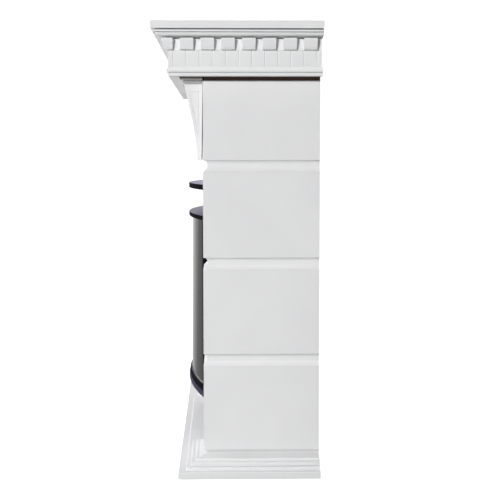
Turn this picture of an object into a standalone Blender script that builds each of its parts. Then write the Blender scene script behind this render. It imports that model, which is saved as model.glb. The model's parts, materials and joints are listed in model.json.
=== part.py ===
"""A free-standing white fireplace surround with a bow-fronted electric stove set in it.

The surround is routed and painted board: two hollow block pilasters on a stepped plinth, a
corbel on each, and an entablature of bead, grooved frieze, dentils and crown under a plain shelf.
All lengths are in metres. X runs along the width, -Y is the front, +Z is up, and the origin is
on the floor under the middle of the shelf.
"""
import math

import bmesh
import bpy

# Gap left between two pieces that touch
FIT = 0.0003

# Mantelshelf
SHELF_WIDTH = 1.194
SHELF_DEPTH = 0.4086
SHELF_THICK = 0.0185
SHELF_ARRIS = 0.001
SHELF_PROJECTION = 0.0403

# Entablature courses under the shelf, measured out from the frieze face
BOARD_THICK = 0.016
BEAD_HEIGHT = 0.0217
BEAD_NOSE = 0.0040
BEAD_NOSE_FOOT = 0.0093
BEAD_NOSE_HEIGHT = 0.0044
BEAD_NOSE_FOOT_OUT = 0.0030
BEAD_NOSE_SLOPE = 0.0012
BEAD_QUIRK = 0.0030
BEAD_QUIRK_FOOT = 0.0045
BEAD_QUIRK_HEAD = 0.0015
BEAD_ROUND = 0.0018
BEAD_BORDER = 0.024
FRIEZE_HEIGHT = 0.037
DENTIL_HEIGHT = 0.0301
CROWN_HEIGHT = 0.0182
CROWN_LIP = 0.0355
CROWN_LIP_ROUND = 0.0007
CROWN_QUIRK_DEPTH = 0.0035
CROWN_QUIRK_HEIGHT = 0.0022
CROWN_OVOLO_HEAD = 0.0285
CROWN_OVOLO_FOOT = 0.0205
CROWN_OVOLO_TOP = 0.0092
CROWN_OVOLO_STEPS = 5
CROWN_SEAM = 0.0035
CROWN_SEAM_DEPTH = 0.0090
CROWN_FOOT_SEAM = 0.0025
CROWN_FOOT_SEAM_DEPTH = 0.0060
MOULDING_BACK_LAP = 0.0025

# Frieze grooves
GROOVE_PITCH = 0.0312
GROOVE_WIDTH = 0.0036
GROOVE_DEPTH = 0.0018
SIDE_GROOVE_START = 0.012
SIDE_GROOVES = 12
FRONT_GROOVES = 36

# Dentils
DENTIL_PROJECTION = 0.017
DENTIL_FOOT = 0.006
DENTIL_LIP = 0.0035
DENTIL_LIP_SLOPE = 0.0012
DENTIL_FILLET = 0.0040
DENTIL_FACE_POWER = 0.75
DENTIL_FACE_STEPS = 4
DENTIL_WIDTH = 0.0322
DENTIL_RETURN = 0.0112
SIDE_DENTIL_PITCH = 0.0491
SIDE_DENTILS = 7
FRONT_DENTILS = 22

# Pilasters
PILASTER_WIDTH = 0.164
PILASTER_HEIGHT = 0.940
PANEL_THICK = 0.018
FRIEZE_SIDE_OVERHANG = 0.0407
FRIEZE_FRONT_OVERHANG = 0.0807
NECK_HEIGHT = 0.0332
BLOCK_PITCH = 0.2382
BLOCK_ARRIS = 0.0015
ROUTED_DEPTH = 0.0105
ROUTED_TOP = 0.0086
ROUTED_FLAT = 0.0083
ROUTED_SLOPE = 0.0127
CAP_BOARD_THICK = 0.0074
CAP_BOARD_SETBACK = 0.004

# Plinth
PLINTH_HEIGHT = 0.025
PLINTH_PROJECTION = 0.062
PLINTH_STRIP_WIDTH = 0.032
PLINTH_TREAD_HEIGHT = 0.0172
PLINTH_TREAD_DEPTH = 0.0190
PLINTH_ROUND = 0.0025
PLINTH_ROUND_CUT = 0.0008
BASE_PROJECTION = 0.0320
BASE_ROUND = 0.0025
BASE_TREAD_HEIGHT = 0.0099
BASE_TREAD_DEPTH = 0.0095
BASE_BEAD_RADIUS = 0.0064
BASE_BEAD_TOP = 0.0045

# Corbels
CORBEL_INSET = 0.010
CORBEL_CAP_HEIGHT = 0.0150
CORBEL_CAP_COVE = 0.0052
CORBEL_CAP_COVE_OUT = 0.0050
CORBEL_CAP_QUIRK = 0.0040
CORBEL_CAP_QUIRK_OUT = 0.0015
CORBEL_CAP_LIP = 0.0042
CORBEL_CAP_SEAM_OUT = 0.0045
CORBEL_CAP_STEPS = 3
CORBEL_CAP_PROJECTION = 0.0545
CORBEL_HEAD = 0.046
CORBEL_TOE = 0.013
CORBEL_CURVE_POWER = 1.5
CORBEL_CURVE_STEPS = 14
CORBEL_FOOT_RISE = 0.0002
CORBEL_GAP_TOP = 0.0005
CORBEL_GAP_FOOT = 0.0033
CORBEL_LINE_WIDTH = 0.0026
CORBEL_LINE_DEPTH = 0.0014
CORBEL_LINE_INSET = 0.0065
CORBEL_LINE_BACK = 0.0095
CORBEL_LINE_TOP = 0.0180
CORBEL_LINE_POINT = 0.0010
CORBEL_LINE_STEPS = 8

# Boards between the pilasters
OPENING_BOARD_SETBACK = 0.015
APRON_HEIGHT = 0.1291
PLATFORM_THICK = 0.018
LINTEL_CLEARANCE = 0.003

# Electric stove set in the opening
STOVE_SIDE_CLEARANCE = 0.003
STOVE_HEIGHT = 0.5553
BOW_PROJECTION = 0.047
BOW_RISE = 0.0437
BOW_STEPS = 16
SILL_PROUD = 0.001
SILL_HEIGHT = 0.0303
SILL_BAND_HEIGHT = 0.0118
SILL_BAND_ROUND = 0.0033
SILL_STEP = 0.0025
SILL_LIP_HEIGHT = 0.0052
SILL_LIP_DEPTH = 0.0036
VISOR_THICK = 0.0140
OUTLET_HEIGHT = 0.0668
UPPER_PLATE_THICK = 0.0118
PLATE_FOOT_ROUND = 0.0020
PLATE_FOOT_CUT = 0.0006
PLATE_TOP_ROUND = 0.0012
GLASS_THICK = 0.004
GLASS_TOP_SETBACK = 0.0100
GLASS_FOOT_SETBACK = 0.0070
POST_WIDTH = 0.019
POST_SETBACK = 0.003
FACE_SETBACK = 0.020
GRILLE_THICK = 0.003
GRILLE_SLOTS = 24
GRILLE_SLOT_ROWS = 2
GRILLE_SLOT_WIDTH = 0.016
GRILLE_SLOT_HEIGHT = 0.010
FIREBOX_DEPTH = 0.130
FIREBOX_WALL = 0.002
FIREBOX_SIDE_INSET = 0.014

# Places worked out from the sizes above
BACK = SHELF_DEPTH / 2
CARCASS_BACK = BACK - MOULDING_BACK_LAP
FRIEZE_HALF = SHELF_WIDTH / 2 - SHELF_PROJECTION
FRIEZE_FRONT = -SHELF_DEPTH / 2 + SHELF_PROJECTION
PILASTER_OUTER = FRIEZE_HALF - FRIEZE_SIDE_OVERHANG
PILASTER_INNER = PILASTER_OUTER - PILASTER_WIDTH
PILASTER_FRONT = FRIEZE_FRONT + FRIEZE_FRONT_OVERHANG
PILASTER_FOOT = PLINTH_HEIGHT + FIT
PILASTER_TOP = PILASTER_FOOT + PILASTER_HEIGHT
CAP_BOARD_TOP = PILASTER_TOP + FIT + CAP_BOARD_THICK
BEAD_FOOT = CAP_BOARD_TOP + FIT
FRIEZE_FOOT = BEAD_FOOT + BEAD_HEIGHT + FIT
DENTIL_FOOT_Z = FRIEZE_FOOT + FRIEZE_HEIGHT + FIT
CROWN_FOOT = DENTIL_FOOT_Z + DENTIL_HEIGHT + FIT
SHELF_FOOT = CROWN_FOOT + CROWN_HEIGHT + FIT
HEIGHT = SHELF_FOOT + SHELF_THICK
BLOCK_FOOT = PILASTER_FOOT + NECK_HEIGHT
TOP_BLOCK_FOOT = BLOCK_FOOT + 3 * BLOCK_PITCH
OPENING_FACE = PILASTER_FRONT + OPENING_BOARD_SETBACK
APRON_TOP = PILASTER_FOOT + APRON_HEIGHT
STOVE_FOOT = APRON_TOP + FIT
STOVE_TOP = STOVE_FOOT + STOVE_HEIGHT
STOVE_HALF = PILASTER_INNER - STOVE_SIDE_CLEARANCE
BOW_RADIUS = (STOVE_HALF ** 2 + BOW_RISE ** 2) / (2 * BOW_RISE)
BOW_FRONT = PILASTER_FRONT - BOW_PROJECTION
STOVE_FACE = PILASTER_FRONT + FACE_SETBACK


def start_scene():
    """Empties the scene and makes the collections for the pieces and the cutters."""
    for item in list(bpy.data.objects):
        bpy.data.objects.remove(item, do_unlink=True)
    collections = []
    for name in ("fireplace_mantelpiece", "cutters"):
        collection = bpy.data.collections.new(name)
        bpy.context.scene.collection.children.link(collection)
        collections.append(collection)
    return collections


PARTS, CUTTERS = start_scene()


def paint(name, colour, roughness, metallic=0.0):
    """A plain Principled material."""
    material = bpy.data.materials.new(name)
    material.use_nodes = True
    shader = material.node_tree.nodes["Principled BSDF"]
    shader.inputs["Base Color"].default_value = (*colour, 1.0)
    shader.inputs["Roughness"].default_value = roughness
    shader.inputs["Metallic"].default_value = metallic
    return material


def white_paint(name):
    return paint(name, (0.86, 0.86, 0.86), 0.45)


def raw_board(name):
    return paint(name, (0.36, 0.24, 0.17), 0.85)


def black_enamel(name):
    return paint(name, (0.012, 0.011, 0.014), 0.18)


def smoked_glass(name):
    return paint(name, (0.02, 0.02, 0.022), 0.05)


def add_object(name, bm, finish, collection=PARTS):
    """Makes the mesh an object with a material of its own."""
    bmesh.ops.recalc_face_normals(bm, faces=bm.faces)
    mesh = bpy.data.meshes.new(name)
    bm.to_mesh(mesh)
    bm.free()
    item = bpy.data.objects.new(name, mesh)
    collection.objects.link(item)
    if collection is CUTTERS:
        item.hide_render = True
        item.display_type = "WIRE"
    else:
        mesh.materials.append(finish(name))
    return item


def add_cube(bm, low, high):
    """Adds a box between two corners to the mesh."""
    made = bmesh.ops.create_cube(bm, size=1.0)["verts"]
    size = [b - a for a, b in zip(low, high)]
    middle = [(a + b) / 2 for a, b in zip(low, high)]
    bmesh.ops.scale(bm, verts=made, vec=size)
    bmesh.ops.translate(bm, verts=made, vec=middle)


def box(name, low, high, finish, arris=0.0):
    """A board or block between two corners, its edges eased by a small bevel."""
    bm = bmesh.new()
    add_cube(bm, low, high)
    item = add_object(name, bm, finish)
    if arris:
        ease(item, arris, 1)
    return item


def ease(item, width, segments):
    """Rounds the sharp edges of a piece."""
    bevel = item.modifiers.new("eased_edges", "BEVEL")
    bevel.width = width
    bevel.segments = segments
    bevel.limit_method = "ANGLE"
    bevel.angle_limit = math.radians(40)


def cut(item, cutter):
    """Takes the cutter's shape out of a piece."""
    boolean = item.modifiers.new("cut", "BOOLEAN")
    boolean.operation = "DIFFERENCE"
    boolean.solver = "EXACT"
    boolean.object = cutter


def loft(bm, rings):
    """Joins closed rings of equal count into a solid with flat ends."""
    made = [[bm.verts.new(point) for point in ring] for ring in rings]
    count = len(made[0])
    for low, high in zip(made, made[1:]):
        for i in range(count):
            j = (i + 1) % count
            bm.faces.new((low[i], low[j], high[j], high[i]))
    bm.faces.new(list(reversed(made[0])))
    bm.faces.new(made[-1])


def arc(centre, radius, start, end, steps):
    """Points of an arc in a profile, its angles in degrees."""
    points = []
    for i in range(steps + 1):
        angle = math.radians(start + (end - start) * i / steps)
        points.append((centre[0] + radius * math.cos(angle), centre[1] + radius * math.sin(angle)))
    return points


# A run is a straight length of moulding: the plan points where its face starts and ends, the
# way it faces, and for each end 1 for a mitre round an outer corner or 0 for a square end.
def run_point(run, end, out, z, along=0.0):
    """The point at one end of a run, out from its face by out and up at z."""
    start, finish, facing, mitres = run
    length = math.dist(start, finish)
    way = [(b - a) / length for a, b in zip(start, finish)]
    joint_gap = FIT / math.sqrt(2) if mitres[end] else 0.0
    reach = mitres[end] * out - joint_gap
    base = finish if end else start
    sign = 1 if end else -1
    x, y = (base[k] + facing[k] * out + way[k] * (sign * reach + along) for k in range(2))
    return x, y, z


def moulding(name, profile, run, finish):
    """A length of moulding: one profile of (out, z) points carried along a run."""
    bm = bmesh.new()
    loft(bm, [[run_point(run, end, out, z) for out, z in profile] for end in (0, 1)])
    return add_object(name, bm, finish)


def three_sides(half, front, back):
    """The runs round the front and both sides of a rectangle, open at the back."""
    return {
        "front": ((-half, front), (half, front), (0, -1), (1, 1)),
        "left": ((-half, back), (-half, front), (-1, 0), (0, 1)),
        "right": ((half, front), (half, back), (1, 0), (1, 0)),
    }


def shelf():
    box("mantelshelf", (-SHELF_WIDTH / 2, -BACK, SHELF_FOOT), (SHELF_WIDTH / 2, BACK, HEIGHT),
        white_paint, SHELF_ARRIS)


def crown():
    """The ovolo and lip under the shelf, parted by a quirk, with deep seams above and below."""
    foot, top = CROWN_FOOT, CROWN_FOOT + CROWN_HEIGHT
    ovolo_foot, ovolo_top = foot + CROWN_FOOT_SEAM, foot + CROWN_OVOLO_TOP
    lip_foot, lip_top = ovolo_top + CROWN_QUIRK_HEIGHT, top - CROWN_SEAM
    seam_back = DENTIL_PROJECTION - CROWN_FOOT_SEAM_DEPTH
    profile = [(-BOARD_THICK, foot), (seam_back, foot), (seam_back, ovolo_foot)]
    for along, up in arc((0.0, 0.0), 1.0, -90, 0, CROWN_OVOLO_STEPS):
        out = CROWN_OVOLO_FOOT + (CROWN_OVOLO_HEAD - CROWN_OVOLO_FOOT) * along
        profile.append((out, ovolo_top + (ovolo_top - ovolo_foot) * up))
    profile += [
        (CROWN_OVOLO_HEAD - CROWN_QUIRK_DEPTH, ovolo_top),
        (CROWN_OVOLO_HEAD - CROWN_QUIRK_DEPTH, lip_foot),
        (CROWN_LIP - CROWN_LIP_ROUND, lip_foot),
        (CROWN_LIP, lip_foot + CROWN_LIP_ROUND),
        (CROWN_LIP, lip_top - CROWN_LIP_ROUND),
        (CROWN_LIP - CROWN_LIP_ROUND, lip_top),
        (CROWN_LIP - CROWN_SEAM_DEPTH, lip_top),
        (CROWN_LIP - CROWN_SEAM_DEPTH, top),
        (-BOARD_THICK, top),
    ]
    for side, run in three_sides(FRIEZE_HALF, FRIEZE_FRONT, BACK).items():
        moulding(f"crown_moulding_{side}", profile, run, white_paint)


def along_run(run, distance, out):
    """The plan point at a distance along a run and out from its face."""
    start, finish, facing, _ = run
    length = math.dist(start, finish)
    return [a + (b - a) * distance / length + f * out for a, b, f in zip(start, finish, facing)]


def dentil_spaces(side, length):
    """The start and width of each space between dentils, measured along a run."""
    if side == "front":
        clear = length - 2 * DENTIL_RETURN
        gap = (clear - FRONT_DENTILS * DENTIL_WIDTH) / (FRONT_DENTILS + 1)
        return [(DENTIL_RETURN + i * (DENTIL_WIDTH + gap), gap) for i in range(FRONT_DENTILS + 1)]
    gap = SIDE_DENTIL_PITCH - DENTIL_WIDTH
    spaces = [(DENTIL_RETURN + i * SIDE_DENTIL_PITCH, gap) for i in range(SIDE_DENTILS)]
    if side == "left":
        spaces = [(length - start - width, width) for start, width in spaces]
    return spaces


def dentils():
    """The dentil courses: a moulding cut into teeth, with a tooth round each corner."""
    foot, top = DENTIL_FOOT_Z, DENTIL_FOOT_Z + DENTIL_HEIGHT
    face_foot, face_top = foot + DENTIL_LIP, top - DENTIL_FILLET
    profile = [(-BOARD_THICK, foot), (DENTIL_FOOT, foot), (DENTIL_FOOT + DENTIL_LIP_SLOPE, face_foot)]
    for i in range(1, DENTIL_FACE_STEPS + 1):
        t = i / DENTIL_FACE_STEPS
        out = DENTIL_FOOT + (DENTIL_PROJECTION - DENTIL_FOOT) * t ** DENTIL_FACE_POWER
        profile.append((out, face_foot + (face_top - face_foot) * t))
    profile += [(DENTIL_PROJECTION, top), (-BOARD_THICK, top)]
    for side, run in three_sides(FRIEZE_HALF, FRIEZE_FRONT, CARCASS_BACK).items():
        item = moulding(f"dentil_course_{side}", profile, run, white_paint)
        bm = bmesh.new()
        for start, width in dentil_spaces(side, math.dist(run[0], run[1])):
            near = along_run(run, start, 0.0)
            far = along_run(run, start + width, 2 * DENTIL_PROJECTION)
            low = [min(pair) for pair in zip(near, far)]
            high = [max(pair) for pair in zip(near, far)]
            add_cube(bm, low + [foot - DENTIL_LIP], high + [top + DENTIL_LIP])
        cut(item, add_object(f"dentil_spaces_{side}", bm, None, CUTTERS))


def frieze():
    """Frieze boards with upright V grooves, drawn in plan and raised to their height."""
    for side, run in three_sides(FRIEZE_HALF, FRIEZE_FRONT, CARCASS_BACK).items():
        length = math.dist(run[0], run[1])
        if side == "front":
            first = (length - (FRONT_GROOVES - 1) * GROOVE_PITCH) / 2
            centres = [first + i * GROOVE_PITCH for i in range(FRONT_GROOVES)]
        else:
            centres = [SIDE_GROOVE_START + i * GROOVE_PITCH for i in range(SIDE_GROOVES)]
            if side == "left":
                centres = sorted(length - centre for centre in centres)
        centres = [c for c in centres if GROOVE_WIDTH < c < length - GROOVE_WIDTH]
        face = []
        for centre in centres:
            face.append((centre - GROOVE_WIDTH / 2, 0.0))
            face.append((centre, -GROOVE_DEPTH))
            face.append((centre + GROOVE_WIDTH / 2, 0.0))
        rings = []
        for z in (FRIEZE_FOOT, FRIEZE_FOOT + FRIEZE_HEIGHT):
            ring = [run_point(run, 0, -BOARD_THICK, z), run_point(run, 0, 0.0, z)]
            square = (run[0], run[1], run[2], (0, 0))
            ring += [run_point(square, 0, out, z, along) for along, out in face]
            ring += [run_point(run, 1, 0.0, z), run_point(run, 1, -BOARD_THICK, z)]
            rings.append(ring)
        bm = bmesh.new()
        loft(bm, rings)
        add_object(f"frieze_board_{side}", bm, white_paint)


def bead():
    """The bead round the foot of the entablature, and the bare board that closes its underside."""
    z = BEAD_FOOT
    nose_low, nose_top = z + BEAD_NOSE_FOOT, z + BEAD_NOSE_FOOT + BEAD_NOSE_HEIGHT
    profile = [
        (-BEAD_BORDER, z),
        (-BEAD_ROUND, z),
        (0.0, z + BEAD_ROUND),
        (0.0, nose_low - BEAD_QUIRK_FOOT),
        (-BEAD_QUIRK, nose_low - BEAD_QUIRK_HEAD),
        (BEAD_NOSE_FOOT_OUT, nose_low),
        (BEAD_NOSE, nose_low + BEAD_NOSE_SLOPE),
        (BEAD_NOSE, nose_top),
        (0.0, z + BEAD_HEIGHT),
        (-BEAD_BORDER, z + BEAD_HEIGHT),
    ]
    for side, run in three_sides(FRIEZE_HALF, FRIEZE_FRONT, BACK).items():
        moulding(f"bead_moulding_{side}", profile, run, white_paint)
    inset = BEAD_BORDER + FIT
    box("soffit_board", (-FRIEZE_HALF + inset, FRIEZE_FRONT + inset, BEAD_FOOT),
        (FRIEZE_HALF - inset, CARCASS_BACK, BEAD_FOOT + BOARD_THICK), raw_board)


def pilaster_profile():
    """The routed face of a pilaster: four blocks parted by three grooves, over a plain neck."""
    profile = [
        (-PANEL_THICK, PILASTER_FOOT),
        (-ROUTED_DEPTH, PILASTER_FOOT),
        (-ROUTED_DEPTH, BLOCK_FOOT - ROUTED_TOP),
        (0.0, BLOCK_FOOT),
    ]
    for i in (1, 2, 3):
        edge = BLOCK_FOOT + i * BLOCK_PITCH
        profile += [
            (0.0, edge - ROUTED_TOP - ROUTED_FLAT - ROUTED_SLOPE),
            (-ROUTED_DEPTH, edge - ROUTED_TOP - ROUTED_FLAT),
            (-ROUTED_DEPTH, edge - ROUTED_TOP),
            (0.0, edge),
        ]
    profile += [(0.0, PILASTER_TOP - BLOCK_ARRIS), (-BLOCK_ARRIS, PILASTER_TOP), (-PANEL_THICK, PILASTER_TOP)]
    return profile


def pilaster_runs(side, back):
    """The runs round the outer side, front and inner side of one pilaster."""
    right = side == "right"
    low, high = (PILASTER_INNER, PILASTER_OUTER) if right else (-PILASTER_OUTER, -PILASTER_INNER)
    west = ((low, back), (low, PILASTER_FRONT), (-1, 0), (0, 1))
    east = ((high, PILASTER_FRONT), (high, back), (1, 0), (1, 0))
    front = ((low, PILASTER_FRONT), (high, PILASTER_FRONT), (0, -1), (1, 1))
    return {"outer": east if right else west, "front": front, "inner": west if right else east}


def pilasters():
    """Each pilaster is a three-sided box of routed panels with a bare board on top."""
    profile = pilaster_profile()
    names = {"outer": "outer_panel", "front": "front_panel", "inner": "inner_cheek"}
    for side in ("left", "right"):
        for place, run in pilaster_runs(side, CARCASS_BACK).items():
            moulding(f"pilaster_{side}_{names[place]}", profile, run, white_paint)
        sign = 1 if side == "right" else -1
        near, far = PILASTER_INNER + CAP_BOARD_SETBACK, PILASTER_OUTER - CAP_BOARD_SETBACK
        ends = sorted((sign * near, sign * far))
        box(f"pilaster_{side}_cap_board",
            (ends[0], PILASTER_FRONT + CAP_BOARD_SETBACK, PILASTER_TOP + FIT),
            (ends[1], CARCASS_BACK, CAP_BOARD_TOP), raw_board)


def corbel_face(z, foot, top):
    """How far a corbel's hollow front stands out from the pilaster at a height."""
    t = (top - z) / (top - foot)
    return CORBEL_TOE + (CORBEL_HEAD - CORBEL_TOE) * (1 - t) ** CORBEL_CURVE_POWER


def loop_bar(bm, outer, inner, x_low, x_high):
    """A closed loop of bar between two outlines of (out, z) points."""
    sections = []
    for (a, za), (b, zb) in zip(outer, inner):
        corners = ((x_low, a, za), (x_high, a, za), (x_high, b, zb), (x_low, b, zb))
        sections.append([bm.verts.new((x, PILASTER_FRONT - out, z)) for x, out, z in corners])
    for i, section in enumerate(sections):
        following = sections[(i + 1) % len(sections)]
        for k in range(4):
            j = (k + 1) % 4
            bm.faces.new((section[k], section[j], following[j], following[k]))


def corbel_line(foot, top, inset):
    """The tapering outline of the line routed on a corbel's side."""
    extra = inset - CORBEL_LINE_INSET
    line_top = top - CORBEL_LINE_TOP - extra
    back = CORBEL_LINE_BACK + extra
    rise = (back + CORBEL_LINE_POINT + inset - CORBEL_TOE) / (CORBEL_HEAD - CORBEL_TOE)
    line_foot = foot + (top - foot) * rise ** (1 / CORBEL_CURVE_POWER)
    points = []
    for i in range(CORBEL_LINE_STEPS + 1):
        z = line_foot + (line_top - line_foot) * i / CORBEL_LINE_STEPS
        points.append((corbel_face(z, foot, top) - inset, z))
    return points + [(back, line_top), (back, line_foot)]


def corbels():
    """A hollow-fronted corbel under a moulded cap, on the top block of each pilaster."""
    foot = TOP_BLOCK_FOOT + CORBEL_FOOT_RISE
    top = BEAD_FOOT - FIT - CORBEL_CAP_HEIGHT - FIT
    heights = [foot + (top - foot) * i / CORBEL_CURVE_STEPS for i in range(CORBEL_CURVE_STEPS + 1)]
    outline = [(corbel_face(z, foot, top), z) for z in heights]
    outline += [(CORBEL_GAP_TOP, top), (CORBEL_GAP_FOOT, foot)]
    flare = CORBEL_CAP_PROJECTION - CORBEL_HEAD
    cap_foot, cap_top = top + FIT, BEAD_FOOT - FIT
    cove_top = cap_foot + CORBEL_CAP_COVE
    quirk_top = cove_top + CORBEL_CAP_QUIRK
    lip_top = quirk_top + CORBEL_CAP_LIP
    cap = []
    for i in range(CORBEL_CAP_STEPS + 1):
        t = i / CORBEL_CAP_STEPS
        cap.append((CORBEL_CAP_COVE_OUT * t ** 2, cap_foot + CORBEL_CAP_COVE * t))
    cap += [
        (CORBEL_CAP_QUIRK_OUT, cove_top),
        (CORBEL_CAP_QUIRK_OUT, quirk_top),
        (flare, quirk_top),
        (flare, lip_top),
        (CORBEL_CAP_SEAM_OUT, lip_top),
        (CORBEL_CAP_SEAM_OUT, cap_top),
    ]
    outer = corbel_line(foot, top, CORBEL_LINE_INSET)
    inner = corbel_line(foot, top, CORBEL_LINE_INSET + CORBEL_LINE_WIDTH)
    for side in ("left", "right"):
        low = PILASTER_INNER + CORBEL_INSET + flare
        high = PILASTER_OUTER - CORBEL_INSET - flare
        if side == "left":
            low, high = -high, -low
        bm = bmesh.new()
        loft(bm, [[(x, PILASTER_FRONT - out, z) for out, z in outline] for x in (low, high)])
        body = add_object(f"corbel_{side}", bm, white_paint)
        bm = bmesh.new()
        loop_bar(bm, outer, inner, low - CORBEL_LINE_WIDTH, low + CORBEL_LINE_DEPTH)
        loop_bar(bm, outer, inner, high - CORBEL_LINE_DEPTH, high + CORBEL_LINE_WIDTH)
        cut(body, add_object(f"corbel_lines_{side}", bm, None, CUTTERS))
        rings = []
        for out, z in cap:
            front, back = PILASTER_FRONT - CORBEL_HEAD - out, PILASTER_FRONT - FIT
            corners = ((low - out, back), (low - out, front), (high + out, front), (high + out, back))
            rings.append([(x, y, z) for x, y in corners])
        bm = bmesh.new()
        loft(bm, rings)
        add_object(f"corbel_cap_{side}", bm, white_paint)


def opening_boards():
    """The apron and shelf the stove stands on and the lintel over it, between the pilasters."""
    half = PILASTER_INNER - FIT
    back_face = OPENING_FACE + BOARD_THICK
    box("opening_apron", (-half, OPENING_FACE, PILASTER_FOOT), (half, back_face, APRON_TOP), white_paint)
    box("stove_platform", (-half, back_face + FIT, APRON_TOP - PLATFORM_THICK),
        (half, CARCASS_BACK, APRON_TOP), raw_board)
    box("opening_lintel", (-half, OPENING_FACE, STOVE_TOP + LINTEL_CLEARANCE),
        (half, back_face, BEAD_FOOT - FIT), white_paint)


def plinth():
    """The stepped plinth: a hearth board in a mitred strip."""
    reach, r = PLINTH_PROJECTION, PLINTH_ROUND
    riser = reach - PLINTH_TREAD_DEPTH
    strip = [
        (reach - PLINTH_STRIP_WIDTH, 0.0),
        (reach, 0.0),
        (reach, PLINTH_TREAD_HEIGHT - r),
        (reach - PLINTH_ROUND_CUT, PLINTH_TREAD_HEIGHT - PLINTH_ROUND_CUT),
        (reach - r, PLINTH_TREAD_HEIGHT),
        (riser, PLINTH_TREAD_HEIGHT),
    ]
    strip += arc((riser - r, PLINTH_HEIGHT - r), r, 0, 90, 3)
    strip.append((reach - PLINTH_STRIP_WIDTH, PLINTH_HEIGHT))
    for side, run in three_sides(PILASTER_OUTER, PILASTER_FRONT, CARCASS_BACK).items():
        moulding(f"plinth_moulding_{side}", strip, run, white_paint)
    inset = reach - PLINTH_STRIP_WIDTH - FIT
    box("hearth_board", (-PILASTER_OUTER - inset, PILASTER_FRONT - inset, 0.0),
        (PILASTER_OUTER + inset, CARCASS_BACK, PLINTH_HEIGHT), white_paint)


def base_mouldings():
    """The moulding that steps in from the plinth to the neck of each pilaster."""
    low, r = PILASTER_FOOT, BASE_ROUND
    inner = -ROUTED_DEPTH + FIT
    tread = low + BASE_TREAD_HEIGHT
    bead_foot = BASE_PROJECTION - BASE_TREAD_DEPTH
    bead_back = bead_foot - BASE_BEAD_RADIUS
    profile = [(inner, low), (BASE_PROJECTION, low)]
    profile += arc((BASE_PROJECTION - r, tread - r), r, 0, 90, 3)
    profile.append((bead_foot, tread))
    profile += arc((bead_back, tread + FIT), BASE_BEAD_RADIUS, 0, 90, 4)
    profile += [
        (bead_back - BASE_BEAD_TOP, tread + BASE_BEAD_RADIUS + FIT),
        (inner, BLOCK_FOOT - ROUTED_TOP - FIT),
    ]
    names = {"outer": "outer", "front": "front", "inner": "return"}
    for side in ("left", "right"):
        for place, run in pilaster_runs(side, CARCASS_BACK).items():
            if place == "inner":
                run = pilaster_runs(side, OPENING_FACE - FIT)[place]
            moulding(f"base_moulding_{side}_{names[place]}", profile, run, white_paint)


def bow_depth(x, setback):
    """Where the bowed front stands at x, set back from its foremost arc."""
    return BOW_FRONT + BOW_RADIUS - math.sqrt((BOW_RADIUS - setback) ** 2 - x ** 2)


def bow_line(half, setback, z):
    """Points of the bowed front from left to right."""
    across = [half * (2 * i / BOW_STEPS - 1) for i in range(BOW_STEPS + 1)]
    return [(x, bow_depth(x, setback), z) for x in across]


def bowed_plate(name, half, back, levels, finish):
    """A plate with a bowed front and a flat back, each level giving (z, setback)."""
    rings = []
    for z, setback in levels:
        rings.append(bow_line(half, setback, z) + [(half, back, z), (-half, back, z)])
    bm = bmesh.new()
    loft(bm, rings)
    return add_object(name, bm, finish)


def rounded_plate(name, foot, thick):
    """One of the two bowed plates at the top of the stove, its front edges rounded."""
    top = foot + thick
    levels = [
        (foot, PLATE_FOOT_ROUND),
        (foot + PLATE_FOOT_CUT, PLATE_FOOT_CUT),
        (foot + PLATE_FOOT_ROUND, 0.0),
        (top - PLATE_TOP_ROUND, 0.0),
        (top, PLATE_TOP_ROUND),
    ]
    return bowed_plate(name, STOVE_HALF, STOVE_FACE, levels, black_enamel)


def stove():
    """The bow-fronted electric stove: visor, outlet, upper plate, glass, posts, sill and firebox."""
    visor_foot = STOVE_TOP - VISOR_THICK
    plate_top = visor_foot - OUTLET_HEIGHT
    plate_foot = plate_top - UPPER_PLATE_THICK
    sill_top = STOVE_FOOT + SILL_HEIGHT
    rounded_plate("stove_visor", visor_foot, VISOR_THICK)
    rounded_plate("stove_upper_plate", plate_foot, UPPER_PLATE_THICK)
    proud = -SILL_PROUD
    sill = [
        (STOVE_FOOT, proud + SILL_STEP / 2),
        (STOVE_FOOT + SILL_BAND_ROUND, proud),
        (STOVE_FOOT + SILL_BAND_HEIGHT, proud),
        (STOVE_FOOT + SILL_BAND_HEIGHT + SILL_BAND_ROUND, proud + SILL_STEP),
        (sill_top - SILL_LIP_HEIGHT, proud + SILL_STEP),
        (sill_top, proud + SILL_STEP + SILL_LIP_DEPTH),
    ]
    bowed_plate("stove_sill", STOVE_HALF, STOVE_FACE, sill, black_enamel)
    glass_half = STOVE_HALF - POST_WIDTH - FIT
    low, high = sill_top + FIT, plate_foot - FIT
    rings = []
    for z, setback in ((low, GLASS_FOOT_SETBACK), (high, GLASS_TOP_SETBACK)):
        outer = bow_line(glass_half, setback, z)
        inner = bow_line(glass_half, setback + GLASS_THICK, z)
        rings.append(outer + inner[::-1])
    bm = bmesh.new()
    loft(bm, rings)
    add_object("stove_glass", bm, smoked_glass)
    for side, sign in (("left", -1), ("right", 1)):
        ends = [sign * STOVE_HALF, sign * (STOVE_HALF - POST_WIDTH)]
        rings = []
        for z in (low, high):
            front = [(x, bow_depth(x, POST_SETBACK), z) for x in (ends[0], sum(ends) / 2, ends[1])]
            rings.append(front + [(ends[1], STOVE_FACE, z), (ends[0], STOVE_FACE, z)])
        bm = bmesh.new()
        loft(bm, rings)
        add_object(f"stove_post_{side}", bm, black_enamel)
    grille(plate_top + FIT, visor_foot - FIT)
    firebox(STOVE_FOOT, visor_foot)


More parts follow.
